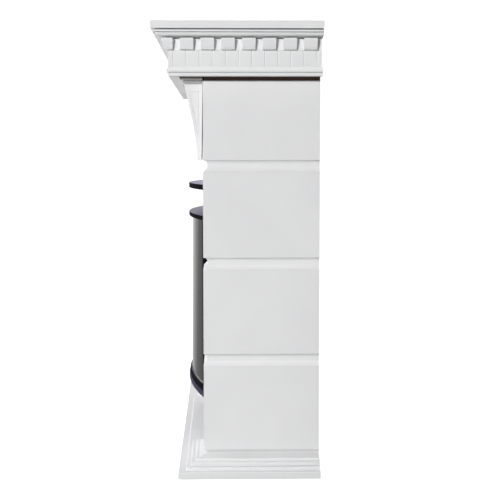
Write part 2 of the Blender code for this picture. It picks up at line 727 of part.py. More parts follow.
def grille(foot, top):
    """The slotted panel at the back of the warm air outlet."""
    half = STOVE_HALF - FIREBOX_SIDE_INSET
    back = STOVE_FACE
    item = box("stove_outlet_grille", (-half, back - GRILLE_THICK, foot), (half, back, top), black_enamel)
    bm = bmesh.new()
    pitch = 2 * half / (GRILLE_SLOTS + 1)
    row_pitch = (top - foot) / (GRILLE_SLOT_ROWS + 1)
    for i in range(GRILLE_SLOTS):
        x = -half + (i + 1) * pitch
        for row in range(GRILLE_SLOT_ROWS):
            z = foot + (row + 1) * row_pitch
            add_cube(bm, (x - GRILLE_SLOT_WIDTH / 2, back - 2 * GRILLE_THICK, z - GRILLE_SLOT_HEIGHT / 2),
                     (x + GRILLE_SLOT_WIDTH / 2, back + GRILLE_THICK, z + GRILLE_SLOT_HEIGHT / 2))
    cut(item, add_object("grille_slots", bm, None, CUTTERS))


def firebox(foot, top):
    """The sheet metal box behind the glass, open to the front."""
    half = STOVE_HALF - FIREBOX_SIDE_INSET
    front = STOVE_FACE + FIT
    back = STOVE_FACE + FIREBOX_DEPTH
    item = box("stove_firebox", (-half, front, foot), (half, back, top), black_enamel)
    bm = bmesh.new()
    wall = FIREBOX_WALL
    add_cube(bm, (-half + wall, front - wall, foot + wall), (half - wall, back - wall, top - wall))
    cut(item, add_object("firebox_hollow", bm, None, CUTTERS))


shelf()
crown()
dentils()
frieze()
bead()
pilasters()
corbels()
opening_boards()
plinth()
base_mouldings()
stove()
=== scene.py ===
"""The look of a white fireplace surround with a bow-fronted electric stove.

Lengths are in metres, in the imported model's frame: X along the width, -Y the front, +Z up.
"""
import json
import math

import bmesh
import bpy
from mathutils import Matrix, Vector


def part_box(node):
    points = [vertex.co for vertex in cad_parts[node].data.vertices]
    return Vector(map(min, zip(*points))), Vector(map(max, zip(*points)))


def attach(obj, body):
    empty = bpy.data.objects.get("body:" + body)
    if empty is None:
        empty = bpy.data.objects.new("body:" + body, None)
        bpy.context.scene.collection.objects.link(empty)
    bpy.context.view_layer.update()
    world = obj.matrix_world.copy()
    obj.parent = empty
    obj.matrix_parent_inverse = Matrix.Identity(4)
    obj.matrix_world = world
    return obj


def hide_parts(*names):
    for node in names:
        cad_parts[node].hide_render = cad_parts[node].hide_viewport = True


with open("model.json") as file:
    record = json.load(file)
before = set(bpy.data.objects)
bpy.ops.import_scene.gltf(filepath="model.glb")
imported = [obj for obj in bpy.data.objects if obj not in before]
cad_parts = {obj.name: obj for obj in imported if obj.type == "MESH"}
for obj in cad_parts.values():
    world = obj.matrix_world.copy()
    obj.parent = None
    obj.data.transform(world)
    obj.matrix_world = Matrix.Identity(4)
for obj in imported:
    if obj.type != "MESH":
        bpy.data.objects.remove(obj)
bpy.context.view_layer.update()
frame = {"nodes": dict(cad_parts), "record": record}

nodes = frame["nodes"]


# Shader nodes

def ramp(tree, source, stops):
    """Maps a value to colours, each stop a position and a colour."""
    node = tree.nodes.new("ShaderNodeValToRGB")
    elements = node.color_ramp.elements
    while len(elements) < len(stops):
        elements.new(0.5)
    for element, (position, colour) in zip(elements, stops):
        element.position = position
        element.color = (*colour, 1.0)
    tree.links.new(source, node.inputs["Fac"])
    return node.outputs["Color"]


def range_of(tree, source, low, high, start, end):
    """Maps a value between two limits to another range, held at its ends."""
    node = tree.nodes.new("ShaderNodeMapRange")
    node.interpolation_type = "SMOOTHSTEP"
    for socket, value in (("From Min", low), ("From Max", high), ("To Min", start), ("To Max", end)):
        node.inputs[socket].default_value = value
    tree.links.new(source, node.inputs["Value"])
    return node.outputs["Result"]


def height_of(tree, vector):
    """The Z of a vector."""
    node = tree.nodes.new("ShaderNodeSeparateXYZ")
    tree.links.new(vector, node.inputs["Vector"])
    return node.outputs["Z"]


def calculate(tree, operation, first, second):
    """One sum with two values."""
    node = tree.nodes.new("ShaderNodeMath")
    node.operation = operation
    tree.links.new(first, node.inputs[0])
    tree.links.new(second, node.inputs[1])
    return node.outputs["Value"]


def blend_colours(tree, blend, factor, first, second):
    """Mixes two colours, each part of it an output or a fixed value."""
    node = tree.nodes.new("ShaderNodeMix")
    node.data_type = "RGBA"
    node.blend_type = blend
    for socket, source in (("Factor", factor), ("A", first), ("B", second)):
        if isinstance(source, bpy.types.NodeSocket):
            tree.links.new(source, node.inputs[socket])
        else:
            node.inputs[socket].default_value = source
    return node.outputs["Result"]


def mix_shaders(tree, factor, first, second):
    """The first shader where the factor is 0, the second where it is 1."""
    node = tree.nodes.new("ShaderNodeMixShader")
    for i, source in enumerate((factor, first, second)):
        tree.links.new(source, node.inputs[i])
    return node.outputs["Shader"]


def noise(tree, scale, detail=3.0, roughness=0.5):
    """A noise pattern in object space, in metres."""
    coords = tree.nodes.new("ShaderNodeTexCoord")
    node = tree.nodes.new("ShaderNodeTexNoise")
    node.inputs["Scale"].default_value = scale
    node.inputs["Detail"].default_value = detail
    node.inputs["Roughness"].default_value = roughness
    tree.links.new(coords.outputs["Object"], node.inputs["Vector"])
    return node.outputs["Fac"]


def bump(tree, shader, height, strength, distance):
    """A fine relief on the surface."""
    node = tree.nodes.new("ShaderNodeBump")
    node.inputs["Strength"].default_value = strength
    node.inputs["Distance"].default_value = distance
    tree.links.new(height, node.inputs["Height"])
    tree.links.new(node.outputs["Normal"], shader.inputs["Normal"])


# Materials

def new_material(name, roughness):
    """A plain Principled material, with its node tree and shader."""
    material = bpy.data.materials.new(name)
    material.use_nodes = True
    shader = material.node_tree.nodes["Principled BSDF"]
    shader.inputs["Roughness"].default_value = roughness
    return material, material.node_tree, shader


def white_paint():
    """Satin white paint with a faint roller texture and hardly any change of tone."""
    material, tree, shader = new_material("white_paint", 0.42)
    tone = ramp(tree, noise(tree, 7.0), [(0.3, (0.80, 0.80, 0.805)), (0.7, (0.83, 0.83, 0.832))])
    tree.links.new(tone, shader.inputs["Base Color"])
    bump(tree, shader, noise(tree, 900.0, 2.0), 0.06, 0.0003)
    return material


def raw_board():
    """Bare brown fibreboard with a fine speckle."""
    material, tree, shader = new_material("raw_board", 0.85)
    tone = ramp(tree, noise(tree, 420.0, 6.0, 0.7),
                [(0.35, (0.11, 0.072, 0.052)), (0.65, (0.19, 0.130, 0.100))])
    tree.links.new(tone, shader.inputs["Base Color"])
    bump(tree, shader, noise(tree, 1200.0, 2.0), 0.15, 0.0003)
    return material


def black_enamel():
    """Black enamel: satin on its upright faces, polished on its tops and on the sill's band, where its
    colour is also a painted violet reflection of the light above.
    """
    under_visor, on_visor, plate_polish_and_reflection = 0.66, 0.67, 0.78
    band_top, band_end, band_polish_and_reflection = 0.1680, 0.1730, 0.62
    satin_roughness, polished_roughness = 0.55, 0.20
    satin_specular, polished_specular = 0.02, 0.22
    material, tree, shader = new_material("black_enamel", satin_roughness)
    coords = tree.nodes.new("ShaderNodeTexCoord")
    height = height_of(tree, coords.outputs["Object"])
    level = range_of(tree, height_of(tree, coords.outputs["Normal"]), 0.6, 0.95, 0.0, 1.0)
    upper = range_of(tree, height, under_visor, on_visor, plate_polish_and_reflection, 1.0)
    band = range_of(tree, height, band_top, band_end, band_polish_and_reflection, 0.0)
    # The polished tops and sill band also get a painted reflection: the same mask turns their colour
    # violet.
    polish_and_painted_reflection = calculate(tree, "MAXIMUM", calculate(tree, "MULTIPLY", level, upper), band)
    roughness = range_of(tree, polish_and_painted_reflection, 0.0, 1.0, satin_roughness, polished_roughness)
    specular = range_of(tree, polish_and_painted_reflection, 0.0, 1.0, satin_specular, polished_specular)
    tree.links.new(roughness, shader.inputs["Roughness"])
    tree.links.new(specular, shader.inputs["Specular IOR Level"])
    black = ramp(tree, noise(tree, 30.0), [(0.3, (0.004, 0.0035, 0.005)), (0.7, (0.006, 0.0055, 0.008))])
    # Painted reflection: a violet colour standing in for the overhead light mirrored in the polished
    # parts.
    painted_reflection_violet = (0.045, 0.035, 0.085, 1.0)
    tree.links.new(blend_colours(tree, "MIX", polish_and_painted_reflection, black, painted_reflection_violet), shader.inputs["Base Color"])
    bump(tree, shader, noise(tree, 260.0, 1.0), 0.05, 0.0004)
    return material


def smoked_glass():
    """Dark tinted glass, so deep that it mostly mirrors the room, with a pale band in its colour along
    its foot edge.
    """
    material, tree, shader = new_material("smoked_glass", 0.03)
    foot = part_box("stove_glass")[0].z
    coords = tree.nodes.new("ShaderNodeTexCoord")
    height = height_of(tree, coords.outputs["Object"])
    # The colour turns pale in a thin band along the foot edge of the glass.
    edge = range_of(tree, height, foot + 0.0020, foot + 0.0040, 1.0, 0.0)
    smoke = ramp(tree, noise(tree, 12.0), [(0.3, (0.014, 0.014, 0.016)), (0.7, (0.018, 0.018, 0.020))])
    pale_foot_colour = (0.50, 0.48, 0.43, 1.0)
    tree.links.new(blend_colours(tree, "MIX", edge, smoke, pale_foot_colour), shader.inputs["Base Color"])
    shader.inputs["IOR"].default_value = 1.5
    return material


materials = {
    "white_paint": white_paint(),
    "raw_board": raw_board(),
    "black_enamel": black_enamel(),
    "smoked_glass": smoked_glass(),
}
slot_of = {part["node"]: part["material_slot"] for part in frame["record"]["subparts"]}
for name, item in nodes.items():
    item.data.materials.clear()
    item.data.materials.append(materials[slot_of[name]])


# Sizes, the same as the solids'

FIT = 0.0003  # the gap between pieces that meet
MITRE_GAP = 0.00008  # what each end of a mitred piece gives up
BOARD = 0.016  # the thickness of the entablature's boards
PANEL = 0.018  # the thickness of the pilasters' panels

shelf_low, shelf_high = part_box("mantelshelf")
block_low, block_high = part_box("pilaster_right_outer_panel")
frieze_low, frieze_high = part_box("frieze_board_right")
bead_low, bead_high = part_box("bead_moulding_right")
crown_low, crown_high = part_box("crown_moulding_right")
dentil_low, dentil_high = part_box("dentil_course_right")
plinth_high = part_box("plinth_moulding_right")[1]

BACK = shelf_high.y
CARCASS_BACK = block_high.y
FRIEZE_HALF = frieze_high.x
FRIEZE_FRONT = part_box("frieze_board_front")[0].y
PILASTER_OUTER = block_high.x
PILASTER_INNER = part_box("pilaster_right_inner_cheek")[0].x
PILASTER_FRONT = block_low.y
PILASTER_FOOT = block_low.z
PILASTER_TOP = block_high.z

# The grooves that part the pilaster's blocks
BLOCK_FOOT = 0.0332  # the height of the lowest block above the pilaster's foot
BLOCK_PITCH = 0.2382
GROOVE_DEPTH = 0.0105
GROOVE_UNDERCUT = 0.0086
GROOVE_FLAT = 0.0083
GROOVE_SLOPE = 0.0127

# The teeth under the crown
TOOTH_WIDTH = 0.0322
TOOTH_CORNER = 0.0112  # how far a corner tooth goes along each of its sides
SIDE_TOOTH_PITCH = 0.0491
SIDE_TEETH = 7
FRONT_TEETH = 22

# The upright grooves of the frieze
LINE_PITCH = 0.0312
SIDE_LINES = 12
FRONT_LINES = 36
FIRST_SIDE_LINE = 0.012  # from the front corner


# Shapes

def round_corners(points, steps=4):
    """Rounds the corners of a closed outline of (out, z, radius) points."""
    outline = []
    count = len(points)
    for i, (out, z, radius) in enumerate(points):
        if radius == 0.0:
            outline.append((out, z))
            continue
        corner = Vector((out, z))
        before = Vector(points[i - 1][:2]) - corner
        after = Vector(points[(i + 1) % count][:2]) - corner
        start = corner + before.normalized() * min(radius, before.length * 0.45)
        end = corner + after.normalized() * min(radius, after.length * 0.45)
        for k in range(steps + 1):
            t = k / steps
            point = start * (1 - t) ** 2 + corner * 2 * t * (1 - t) + end * t ** 2
            outline.append((point.x, point.y))
    return outline


def new_item(name, bm):
    """Puts a finished mesh in the scene."""
    mesh = bpy.data.meshes.new(name)
    bm.to_mesh(mesh)
    bm.free()
    item = bpy.data.objects.new(name, mesh)
    bpy.context.scene.collection.objects.link(item)
    return item


def smooth(item):
    """Shades a mesh smooth but for its sharp edges, its flat faces keeping their own normals."""
    mesh = item.data
    mesh.polygons.foreach_set("use_smooth", [True] * len(mesh.polygons))
    mesh.set_sharp_from_angle(angle=math.radians(32))
    item.modifiers.new("face_normals", "WEIGHTED_NORMAL").keep_sharp = True


def finish_piece(name, bm, slot, *replaced):
    """Makes the mesh a piece of the object."""
    bmesh.ops.recalc_face_normals(bm, faces=bm.faces)
    item = new_item(name, bm)
    item.data.materials.append(materials[slot])
    smooth(item)
    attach(item, "root")
    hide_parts(*replaced)
    return item


def loft(bm, rings):
    """Joins closed rings of equal count into a solid with flat ends."""
    made = [[bm.verts.new(point) for point in ring] for ring in rings]
    count = len(made[0])
    for low, high in zip(made, made[1:]):
        for i in range(count):
            j = (i + 1) % count
            bm.faces.new((low[i], low[j], high[j], high[i]))
    bm.faces.new(list(reversed(made[0])))
    bm.faces.new(made[-1])


def run_point(run, end, out, z, along=0.0):
    """The point at one end of a run, out from its face and up at z, or further along it.

    A run is its start, its finish, the way that its face looks, and for each end 1 where it is
    mitred round an outer corner or 0 where it is cut square.
    """
    start, finish, facing, mitres = run
    length = math.dist(start, finish)
    way = [(b - a) / length for a, b in zip(start, finish)]
    reach = mitres[end] * (out - MITRE_GAP)
    base = finish if end else start
    sign = 1 if end else -1
    x, y = (base[k] + facing[k] * out + way[k] * (sign * reach + along) for k in range(2))
    return x, y, z


def cut_square(run):
    """The same run without its mitres."""
    return (*run[:3], (0, 0))


def moulding(name, outline, run):
    """A length of moulding: one outline carried along a run."""
    bm = bmesh.new()
    loft(bm, [[run_point(run, end, out, z) for out, z in outline] for end in (0, 1)])
    finish_piece(f"{name}_paintwork", bm, "white_paint", name)


def three_sides(half, front, back):
    """The runs round the front and both sides of a rectangle, open at the back."""
    return {
        "front": ((-half, front), (half, front), (0, -1), (1, 1)),
        "left": ((-half, back), (-half, front), (-1, 0), (0, 1)),
        "right": ((half, front), (half, back), (1, 0), (1, 0)),
    }


# Entablature

def make_shelf():
    """A plain board with eased edges."""
    arris = 0.0012
    bm = bmesh.new()
    made = bmesh.ops.create_cube(bm, size=1.0)["verts"]
    bmesh.ops.scale(bm, verts=made, vec=shelf_high - shelf_low)
    bmesh.ops.translate(bm, verts=made, vec=(shelf_low + shelf_high) / 2)
    edges = list({edge for vert in made for edge in vert.link_edges})
    bmesh.ops.bevel(bm, geom=edges, offset=arris, segments=3, profile=0.5, affect="EDGES")
    finish_piece("mantelshelf_paintwork", bm, "white_paint", "mantelshelf")


def make_crown():
    """An ovolo and a lip, parted by a quirk, with a deep seam above and below."""
    foot, top = crown_low.z, crown_high.z
    ovolo_foot, ovolo_top = foot + 0.0024, foot + 0.0098
    lip_foot, lip_top = foot + 0.0110, top - 0.0026
    seam_out, ovolo_out, ovolo_bulge, ovolo_steps = 0.0080, 0.0205, 0.0090, 12
    quirk_out, lip_out, lip_radius = 0.0235, 0.0355, 0.0010
    points = [(-BOARD, foot, 0.0), (seam_out, foot, 0.0), (seam_out, ovolo_foot, 0.0)]
    for i in range(ovolo_steps + 1):
        angle = math.radians(90 * i / ovolo_steps)
        out = ovolo_out + ovolo_bulge * math.sin(angle)
        points.append((out, ovolo_top - (ovolo_top - ovolo_foot) * math.cos(angle), 0.0))
    points += [
        (quirk_out, ovolo_top, 0.0),
        (quirk_out, lip_foot, 0.0),
        (lip_out, lip_foot, lip_radius),
        (lip_out, lip_top, lip_radius),
        (quirk_out, lip_top, 0.0),
        (quirk_out, top, 0.0),
        (-BOARD, top, 0.0),
    ]
    outline = round_corners(points)
    for side, run in three_sides(FRIEZE_HALF, FRIEZE_FRONT, BACK).items():
        moulding(f"crown_moulding_{side}", outline, run)


def tooth_starts(side, length):
    """The distance along the run to the start of each whole tooth."""
    if side == "front":
        gap = (length - 2 * TOOTH_CORNER - FRONT_TEETH * TOOTH_WIDTH) / (FRONT_TEETH + 1)
        return [TOOTH_CORNER + gap + i * (TOOTH_WIDTH + gap) for i in range(FRONT_TEETH)]
    first = TOOTH_CORNER + SIDE_TOOTH_PITCH - TOOTH_WIDTH
    starts = [first + i * SIDE_TOOTH_PITCH for i in range(SIDE_TEETH)]
    if side == "left":
        return [length - start - TOOTH_WIDTH for start in starts]
    return starts


def add_tooth(bm, run, outline, near, far):
    """One tooth between two distances along a run, its side edges eased."""
    width, ease = 0.0006, 0.0005
    sections = []
    for place, shrink in ((near, ease), (near + width, 0.0), (far - width, 0.0), (far, ease)):
        section = [(max(out - shrink, 0.0) if out > 0 else out, z) for out, z in outline]
        sections.append([run_point(run, 0, out, z, place) for out, z in section])
    loft(bm, sections)


def make_dentils():
    """Teeth that lean in towards the foot, on a plain ground, with a whole tooth round each corner."""
    foot, top = dentil_low.z, dentil_high.z
    tooth_foot, lean_foot, lean_height, tooth_top = foot + 0.0024, foot + 0.0040, 0.0215, top - 0.0012
    root, foot_out, lean_out, lean, full_out = -0.004, 0.0078, 0.0082, 0.0088, 0.017
    lean_steps = 12
    points = [(root, tooth_foot, 0.0), (foot_out, tooth_foot, 0.0003), (lean_out, lean_foot, 0.0008)]
    for i in range(1, lean_steps + 1):
        t = i / lean_steps
        points.append((lean_out + lean * t ** 0.75, lean_foot + lean_height * t, 0.0))
    points += [(full_out, tooth_top, 0.0005), (root, tooth_top, 0.0)]
    outline = round_corners(points, 3)
    recess, recess_foot = -0.0050, top - 0.0024
    pale_foot_colour = [(-BOARD, foot), (0.0, foot), (0.0, recess_foot),
              (recess, recess_foot), (recess, top), (-BOARD, top)]
    for side, run in three_sides(FRIEZE_HALF, FRIEZE_FRONT, CARCASS_BACK).items():
        length = math.dist(run[0], run[1])
        square = cut_square(run)
        bm = bmesh.new()
        loft(bm, [[run_point(run, end, out, z) for out, z in pale_foot_colour] for end in (0, 1)])
        for start in tooth_starts(side, length):
            add_tooth(bm, square, outline, start, min(start + TOOTH_WIDTH, length))
        if side != "left":
            loft(bm, [[run_point(run, 0, out, z) for out, z in outline],
                      [run_point(square, 0, out, z, TOOTH_CORNER) for out, z in outline]])
        if side != "right":
            loft(bm, [[run_point(square, 0, out, z, length - TOOTH_CORNER) for out, z in outline],
                      [run_point(run, 1, out, z) for out, z in outline]])
        finish_piece(f"dentil_course_{side}_paintwork", bm, "white_paint", f"dentil_course_{side}")


def make_frieze():
    """Boards with upright grooves, their edges softened by paint."""
    foot, top = frieze_low.z, frieze_high.z
    width, depth, soft = 0.0036, 0.0018, 0.0006
    groove = ((-width / 2 - soft, 0.0), (-width / 2 + soft, -depth * 0.30), (-soft / 2, -depth),
              (soft / 2, -depth), (width / 2 - soft, -depth * 0.30), (width / 2 + soft, 0.0))
    for side, run in three_sides(FRIEZE_HALF, FRIEZE_FRONT, CARCASS_BACK).items():
        length = math.dist(run[0], run[1])
        if side == "front":
            first = (length - (FRONT_LINES - 1) * LINE_PITCH) / 2
            centres = [first + i * LINE_PITCH for i in range(FRONT_LINES)]
        else:
            centres = [FIRST_SIDE_LINE + i * LINE_PITCH for i in range(SIDE_LINES)]
            if side == "left":
                centres = sorted(length - centre for centre in centres)
        square = cut_square(run)
        rings = []
        for z in (foot - FIT, top):
            ring = [run_point(run, 0, -BOARD, z), run_point(run, 0, 0.0, z)]
            for centre in centres:
                ring += [run_point(square, 0, out, z, centre + along) for along, out in groove]
            ring += [run_point(run, 1, 0.0, z), run_point(run, 1, -BOARD, z)]
            rings.append(ring)
        bm = bmesh.new()
        loft(bm, rings)
        finish_piece(f"frieze_board_{side}_paintwork", bm, "white_paint", f"frieze_board_{side}")


def make_bead():
    """A flat band, a narrow cut, and a rounded bead that leans back to the frieze."""
    z, top = bead_low.z, bead_high.z
    border = 0.024
    points = [
        (-border, z, 0.0),
        (0.0, z, 0.0008),
        (0.0, z + 0.0058, 0.0008),
        (-0.0030, z + 0.0080, 0.0004),
        (0.0036, z + 0.0088, 0.0010),
        (0.0041, z + 0.0118, 0.0020),
        (0.0034, z + 0.0152, 0.0020),
        (0.0, top, 0.0004),
        (-border, top, 0.0),
    ]
    outline = round_corners(points)
    for side, run in three_sides(FRIEZE_HALF, FRIEZE_FRONT, BACK).items():
        moulding(f"bead_moulding_{side}", outline, run)


# Pilasters and corbels

def pilaster_sides(side, back):
    """The runs round the outer side, front and inner side of one pilaster."""
    right = side == "right"
    low, high = (PILASTER_INNER, PILASTER_OUTER) if right else (-PILASTER_OUTER, -PILASTER_INNER)
    west = ((low, back), (low, PILASTER_FRONT), (-1, 0), (0, 1))
    east = ((high, PILASTER_FRONT), (high, back), (1, 0), (1, 0))
    front = ((low, PILASTER_FRONT), (high, PILASTER_FRONT), (0, -1), (1, 1))
    return {"outer": east if right else west, "front": front, "inner": west if right else east}


def make_pilasters():
    """Routed panels: each groove is a flat between two coves, its upper edge sharp."""
    block = PILASTER_FOOT + BLOCK_FOOT
    # The upper cove is for the most part curved, the lower one for the most part a slope
    cove_steps, most, least = 8, 0.8, 0.2
    upper_cove = []
    lower_cove = []
    for i in range(cove_steps + 1):
        t = i / cove_steps
        way_in, way_down = math.sin(t * math.pi / 2), 1 - math.cos(t * math.pi / 2)
        upper_cove.append((-GROOVE_DEPTH * (most * way_in + least * t),
                           -GROOVE_UNDERCUT * (most * way_down + least * t)))
        lower_cove.append((-GROOVE_DEPTH * (least * way_in + most * t),
                           GROOVE_SLOPE * (least * way_down + most * t)))
    points = [
        (-PANEL, PILASTER_FOOT, 0.0),
        (-GROOVE_DEPTH, PILASTER_FOOT, 0.0),
        (-GROOVE_DEPTH, block - GROOVE_UNDERCUT, 0.0008),
        (0.0, block, 0.0003),
    ]
    for i in (1, 2, 3):
        edge = block + i * BLOCK_PITCH
        lower = edge - GROOVE_UNDERCUT - GROOVE_FLAT - GROOVE_SLOPE
        points += [(out, lower + rise, 0.0) for out, rise in lower_cove]
        points += [(out, edge + rise, 0.0) for out, rise in reversed(upper_cove)]
    points += [(0.0, PILASTER_TOP, 0.0016), (-PANEL, PILASTER_TOP, 0.0)]
    outline = round_corners(points)
    names = {"outer": "outer_panel", "front": "front_panel", "inner": "inner_cheek"}
    for side in ("left", "right"):
        for place, run in pilaster_sides(side, CARCASS_BACK).items():
            moulding(f"pilaster_{side}_{names[place]}", outline, run)


CORBEL_FOOT_OUT = 0.013
CORBEL_SPREAD = 0.033
CORBEL_POWER = 1.5
LINE_INSET = 0.0065  # from the corbel's edge to the outer edge of the line on its side
LINE_WIDTH = 0.0026
LINE_DEPTH = 0.0016


def corbel_face(z, foot, top):
    """How far a corbel's hollow front stands out from the pilaster at a height."""
    return CORBEL_FOOT_OUT + CORBEL_SPREAD * ((z - foot) / (top - foot)) ** CORBEL_POWER


def line_loop(foot, top, inset):
    """The outline of the tapering line routed on a corbel's side, inset from its edge."""
    steps, least_width = 24, 0.001
    extra = inset - LINE_INSET
    back = 0.0095 + extra
    line_top = top - 0.018 - extra
    share = (back + least_width + inset - CORBEL_FOOT_OUT) / CORBEL_SPREAD
    line_foot = foot + (top - foot) * share ** (1 / CORBEL_POWER)
    points = []
    for i in range(steps + 1):
        z = line_foot + (line_top - line_foot) * i / steps
        points.append((corbel_face(z, foot, top) - inset, z))
    return points + [(back, line_top), (back, line_foot)]


def line_cutter(low, high):
    """Two V-shaped rings, one on each side of a corbel, which cut its lines."""
    proud = 0.0006
    bm = bmesh.new()
    loops = [line_loop(low.z, high.z, LINE_INSET + LINE_WIDTH * share) for share in (0.0, 0.5, 1.0)]
    for face, sign in ((low.x, -1), (high.x, 1)):
        places = (face + sign * proud, face - sign * LINE_DEPTH, face + sign * proud)
        rows = []
        for loop, x in zip(loops, places):
            rows.append([bm.verts.new((x, PILASTER_FRONT - out, z)) for out, z in loop])
        count = len(rows[0])
        for a, b in ((0, 1), (1, 2), (2, 0)):
            for i in range(count):
                j = (i + 1) % count
                bm.faces.new((rows[a][i], rows[a][j], rows[b][j], rows[b][i]))
    bmesh.ops.recalc_face_normals(bm, faces=bm.faces)
    return new_item("line_cutter", bm)


def make_corbel(side):
    """A bracket with a hollow front and a tapering line on each side."""
    low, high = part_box(f"corbel_{side}")
    foot, top = low.z, high.z
    face_steps, top_back, foot_back = 40, 0.0005, 0.0033
    heights = [foot + (top - foot) * i / face_steps for i in range(face_steps + 1)]
    outline = [(corbel_face(z, foot, top), z) for z in heights] + [(top_back, top), (foot_back, foot)]
    bm = bmesh.new()
    loft(bm, [[(x, PILASTER_FRONT - out, z) for out, z in outline] for x in (low.x, high.x)])
    body = finish_piece(f"corbel_{side}_paintwork", bm, "white_paint", f"corbel_{side}")
    cutter = line_cutter(low, high)
    body.modifiers.clear()
    edges = body.modifiers.new("eased", "BEVEL")
    edges.width = 0.0008
    edges.segments = 2
    edges.limit_method = "ANGLE"
    edges.angle_limit = math.radians(50)
    cut = body.modifiers.new("line", "BOOLEAN")
    cut.solver = "EXACT"
    cut.object = cutter
    graph = bpy.context.evaluated_depsgraph_get()
    mesh = bpy.data.meshes.new_from_object(body.evaluated_get(graph))
    body.modifiers.clear()
    body.data = mesh
    smooth(body)
    bpy.data.objects.remove(cutter, do_unlink=True)


def make_corbel_cap(side):
    """A cove, a quirk and a lip round three sides, and a plain neck under the soffit."""
    low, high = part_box(f"corbel_cap_{side}")
    foot = low.z
    flare, cove_out, neck_out, quirk_out, arris = 0.0085, 0.0050, 0.0045, 0.0015, 0.0005
    cove, quirk, lip, cove_steps = 0.0052, 0.0092, 0.0134, 8
    levels = [(cove_out * (i / cove_steps) ** 2, foot + cove * i / cove_steps)
              for i in range(cove_steps + 1)]
    levels += [
        (quirk_out, foot + cove + 0.0002),
        (quirk_out, foot + quirk),
        (flare - arris, foot + quirk),
        (flare, foot + quirk + 0.0006),
        (flare, foot + lip - 0.0006),
        (flare - arris, foot + lip),
        (neck_out, foot + lip),
        (neck_out, high.z),
    ]
    rings = []
    for out, z in levels:
        inner, front = flare - out, low.y + flare - out
        rings.append([(low.x + inner, high.y, z), (low.x + inner, front, z),
                      (high.x - inner, front, z), (high.x - inner, high.y, z)])
    bm = bmesh.new()
    loft(bm, rings)
    finish_piece(f"corbel_cap_{side}_paintwork", bm, "white_paint", f"corbel_cap_{side}")


# Plinth

def make_plinth():
    """A low square step with a set-back strip on it."""
    reach = plinth_high.x - PILASTER_OUTER
    top, tread = plinth_high.z, 0.0172
    border, step = 0.032, 0.0190
    points = [
        (reach - border, 0.0, 0.0),
        (reach, 0.0, 0.0006),
        (reach, tread, 0.0026),
        (reach - step, tread, 0.0005),
        (reach - step, top, 0.0026),
        (reach - border, top, 0.0),
    ]
    outline = round_corners(points, 5)
    for side, run in three_sides(PILASTER_OUTER, PILASTER_FRONT, CARCASS_BACK).items():
        moulding(f"plinth_moulding_{side}", outline, run)


def make_base_mouldings():
    """A square step, then a quarter-round bead, then a slope up to the neck."""
    foot = PILASTER_FOOT
    neck = foot + BLOCK_FOOT - GROOVE_UNDERCUT - FIT
    tread = foot + 0.0099
    inner, reach = -0.0102, 0.0320
    bead_out, bead, bead_steps = 0.0158, 0.0064, 8
    points = [
        (inner, foot, 0.0),
        (reach, foot, 0.0),
        (reach, tread, 0.0026),
        (0.0228, tread, 0.0),
        (0.0226, tread - 0.0007, 0.0),
        (0.0222, tread - 0.0002, 0.0),
    ]
    for i in range(bead_steps + 1):
        angle = math.radians(90 * i / bead_steps)
        points.append((bead_out + bead * math.cos(angle), tread + FIT + bead * math.sin(angle), 0.0))
    points += [(0.0116, tread + 0.0067, 0.0006), (inner, neck, 0.0)]
    outline = round_corners(points)
    names = {"outer": "outer", "front": "front", "inner": "return"}
    for side in ("left", "right"):
        for place, run in pilaster_sides(side, CARCASS_BACK).items():
            if place == "inner":
                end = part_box(f"base_moulding_{side}_return")[1].y
                run = pilaster_sides(side, end)[place]
            moulding(f"base_moulding_{side}_{names[place]}", outline, run)


# Stove

visor_low, visor_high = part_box("stove_visor")
STOVE_HALF = visor_high.x
STOVE_DEEP = visor_high.y - visor_low.y
BOW_FRONT = visor_low.y
BOW_RISE = 0.0437
BOW_RADIUS = (STOVE_HALF ** 2 + BOW_RISE ** 2) / (2 * BOW_RISE)


def bow_line(half, setback, z, steps=72):
    """Points of the bowed front from left to right, set back from the foremost arc."""
    points = []
    for i in range(steps + 1):
        x = half * (2 * i / steps - 1)
        points.append((x, BOW_FRONT + BOW_RADIUS - math.sqrt((BOW_RADIUS - setback) ** 2 - x ** 2), z))
    return points


def bowed_piece(name, section, steps):
    """A bowed solid of enamel from its section, (setback, z, radius) points from foot to top."""
    back = visor_high.y
    rings = []
    for setback, z in round_corners(section, steps)[1:-1]:
        rings.append(bow_line(STOVE_HALF, setback, z) + [(STOVE_HALF, back, z), (-STOVE_HALF, back, z)])
    bm = bmesh.new()
    loft(bm, rings)
    finish_piece(f"{name}_shell", bm, "black_enamel", name)


def make_stove():
    """The visor, the upper plate, the sill with its band and rounded lip, and the glass."""
    for name in ("stove_visor", "stove_upper_plate"):
        low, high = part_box(name)
        section = [(STOVE_DEEP, low.z, 0.0), (0.0, low.z, 0.0022),
                   (0.0, high.z, 0.0014), (STOVE_DEEP, high.z, 0.0)]
        bowed_piece(name, section, 6)
    low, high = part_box("stove_sill")
    z, top = low.z, high.z
    section = [
        (STOVE_DEEP, z, 0.0),
        (0.0006, z, 0.0012),
        (-0.0010, z + 0.0030, 0.0020),
        (-0.0010, z + 0.0118, 0.0016),
        (0.0016, z + 0.0150, 0.0008),
        (0.0016, top - 0.0052, 0.0012),
        (0.0052, top, 0.0008),
        (STOVE_DEEP, top, 0.0),
    ]
    bowed_piece("stove_sill", section, 4)
    low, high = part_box("stove_glass")
    face, back, rake, eased = 0.0070, 0.0110, 0.0030, 0.0006
    rings = []
    for t in (0.0, 0.02, 0.98, 1.0):
        z = low.z + (high.z - low.z) * t
        setback = face + rake * t + (eased if t in (0.0, 1.0) else 0.0)
        rings.append(bow_line(high.x, setback, z) + bow_line(high.x, back + rake * t, z)[::-1])
    bm = bmesh.new()
    loft(bm, rings)
    finish_piece("stove_glass_pane", bm, "smoked_glass", "stove_glass")


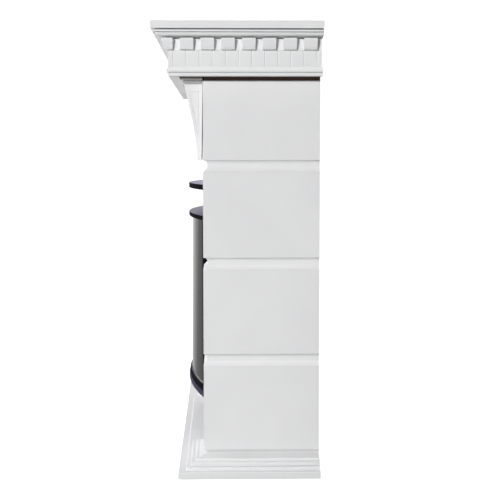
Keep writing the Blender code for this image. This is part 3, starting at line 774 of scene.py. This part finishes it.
make_shelf()
make_crown()
make_dentils()
make_frieze()
make_bead()
make_pilasters()
for side in ("left", "right"):
    make_corbel(side)
    make_corbel_cap(side)
make_plinth()
make_base_mouldings()
make_stove()


# Floor, light and camera

def set_floor():
    """A plain white floor that runs on into the white backdrop and shows in no mirror."""
    half, drop = 60.0, 0.0005
    bm = bmesh.new()
    bmesh.ops.create_grid(bm, x_segments=1, y_segments=1, size=half)
    item = new_item("floor", bm)
    item.location.z = -drop
    material, tree, shader = new_material("floor", 0.9)
    shader.inputs["Base Color"].default_value = (0.5, 0.5, 0.5, 1.0)
    path = tree.nodes.new("ShaderNodeLightPath")
    glow = tree.nodes.new("ShaderNodeEmission")
    tree.links.new(path.outputs["Is Camera Ray"], glow.inputs["Strength"])
    both = tree.nodes.new("ShaderNodeAddShader")
    tree.links.new(shader.outputs["BSDF"], both.inputs[0])
    tree.links.new(glow.outputs["Emission"], both.inputs[1])
    clear = tree.nodes.new("ShaderNodeBsdfTransparent")
    surface = mix_shaders(tree, path.outputs["Is Glossy Ray"],
                          both.outputs["Shader"], clear.outputs["BSDF"])
    tree.links.new(surface, tree.nodes["Material Output"].inputs["Surface"])
    item.data.materials.append(material)


set_floor()


def area_light(name, location, target, width, height, power, spread=math.pi):
    """A soft studio light that points at a target, and that nothing mirrors."""
    data = bpy.data.lights.new(name, "AREA")
    data.shape = "RECTANGLE"
    data.size = width
    data.size_y = height
    data.energy = power
    data.spread = spread
    data.color = (0.992, 0.996, 1.0)
    item = bpy.data.objects.new(name, data)
    item.location = location
    way = Vector(target) - Vector(location)
    item.rotation_euler = way.to_track_quat("-Z", "Y").to_euler()
    item.visible_glossy = False
    bpy.context.scene.collection.objects.link(item)


# The key light stands well off at the right, a little to the front and above the shelf. The low
# light is a narrow beam on the base, and the bounce card lights what faces down.
area_light("key_light", (6.9, -2.6, 2.70), (0.5, 0.0, 0.7), 0.4, 0.4, 380.0)
area_light("low_light", (2.6, -0.5, 2.2), (0.6, -0.05, 0.05), 0.5, 0.5, 0.13, 0.45)
area_light("front_light", (-0.8, -3.4, 1.3), (0.0, 0.0, 0.6), 1.2, 1.2, 55.0)
area_light("bounce_card", (0.0, -1.2, 0.1), (0.0, -0.15, 1.0), 1.6, 0.4, 8.5)
area_light("top_light", (0.2, -0.2, 3.3), (0.2, -0.1, 0.0), 1.4, 1.0, 34.0)
area_light("back_light", (-2.0, 3.0, 1.5), (0.0, 0.0, 0.6), 1.2, 1.2, 40.0)


def set_world():
    """A white studio: full white behind the object, a dim fill, and a white screen to mirror."""
    world = bpy.data.worlds.new("studio")
    world.use_nodes = True
    tree = world.node_tree
    backdrop = tree.nodes["Background"]
    fill, mirrored = (tree.nodes.new("ShaderNodeBackground") for _ in range(2))
    for node, strength in ((backdrop, 1.1), (fill, 0.05)):
        node.inputs["Color"].default_value = (1.0, 1.0, 1.0, 1.0)
        node.inputs["Strength"].default_value = strength
    coords = tree.nodes.new("ShaderNodeTexCoord")
    height = height_of(tree, coords.outputs["Generated"])
    # The screen stands at the left, so only faces that turn towards it are light
    facing = tree.nodes.new("ShaderNodeVectorMath")
    facing.operation = "DOT_PRODUCT"
    facing.inputs[1].default_value = (-1.0, 0.0, 0.0)
    tree.links.new(coords.outputs["Generated"], facing.inputs[0])
    levels = [(0.0, 0.04), (0.70, 0.08), (0.88, 0.20), (0.94, 0.26),
              (0.97, 0.52), (0.985, 0.72), (1.0, 0.85)]
    screen = ramp(tree, facing.outputs["Value"], [(place, (v, v, v)) for place, v in levels])
    # What lies above the horizon is a little violet, what lies under it is not
    cast = ramp(tree, range_of(tree, height, -0.02, 0.03, 0.0, 1.0),
                [(0.0, (1.0, 0.995, 0.985)), (1.0, (0.90, 0.86, 1.0))])
    tinted = blend_colours(tree, "MULTIPLY", 1.0, screen, cast)
    # A wide lamp overhead, which puts a gleam on slopes and rounded edges
    lamp = range_of(tree, height, 0.45, 0.80, 0.0, 4.0)
    tree.links.new(blend_colours(tree, "ADD", 1.0, tinted, lamp), mirrored.inputs["Color"])
    path = tree.nodes.new("ShaderNodeLightPath")
    lit = mix_shaders(tree, path.outputs["Is Glossy Ray"],
                      fill.outputs["Background"], mirrored.outputs["Background"])
    surface = mix_shaders(tree, path.outputs["Is Camera Ray"], lit, backdrop.outputs["Background"])
    tree.links.new(surface, tree.nodes["World Output"].inputs["Surface"])
    bpy.context.scene.world = world


set_world()
bpy.context.scene.view_settings.view_transform = "Standard"


def set_camera():
    """A long lens at the right-hand side, a little to the front and looking slightly down."""
    location = (3.38314, -0.03802, 0.78002)
    yaw, pitch, roll = 0.02414, 0.0787, -0.00065
    sensor_width, focal_length = 36.0, 84.717
    forward = Vector((-math.cos(yaw) * math.cos(pitch), math.sin(yaw) * math.cos(pitch),
                      -math.sin(pitch)))
    level = Vector((math.sin(yaw), math.cos(yaw), 0.0))
    upright = level.cross(forward)
    right = level * math.cos(roll) + upright * math.sin(roll)
    up = upright * math.cos(roll) - level * math.sin(roll)
    data = bpy.data.cameras.new("camera")
    data.sensor_width = sensor_width
    data.lens = focal_length
    item = bpy.data.objects.new("camera", data)
    rows = [(right[k], up[k], -forward[k], location[k]) for k in range(3)]
    item.matrix_world = Matrix((*rows, (0.0, 0.0, 0.0, 1.0)))
    bpy.context.scene.collection.objects.link(item)
    bpy.context.scene.camera = item


set_camera()
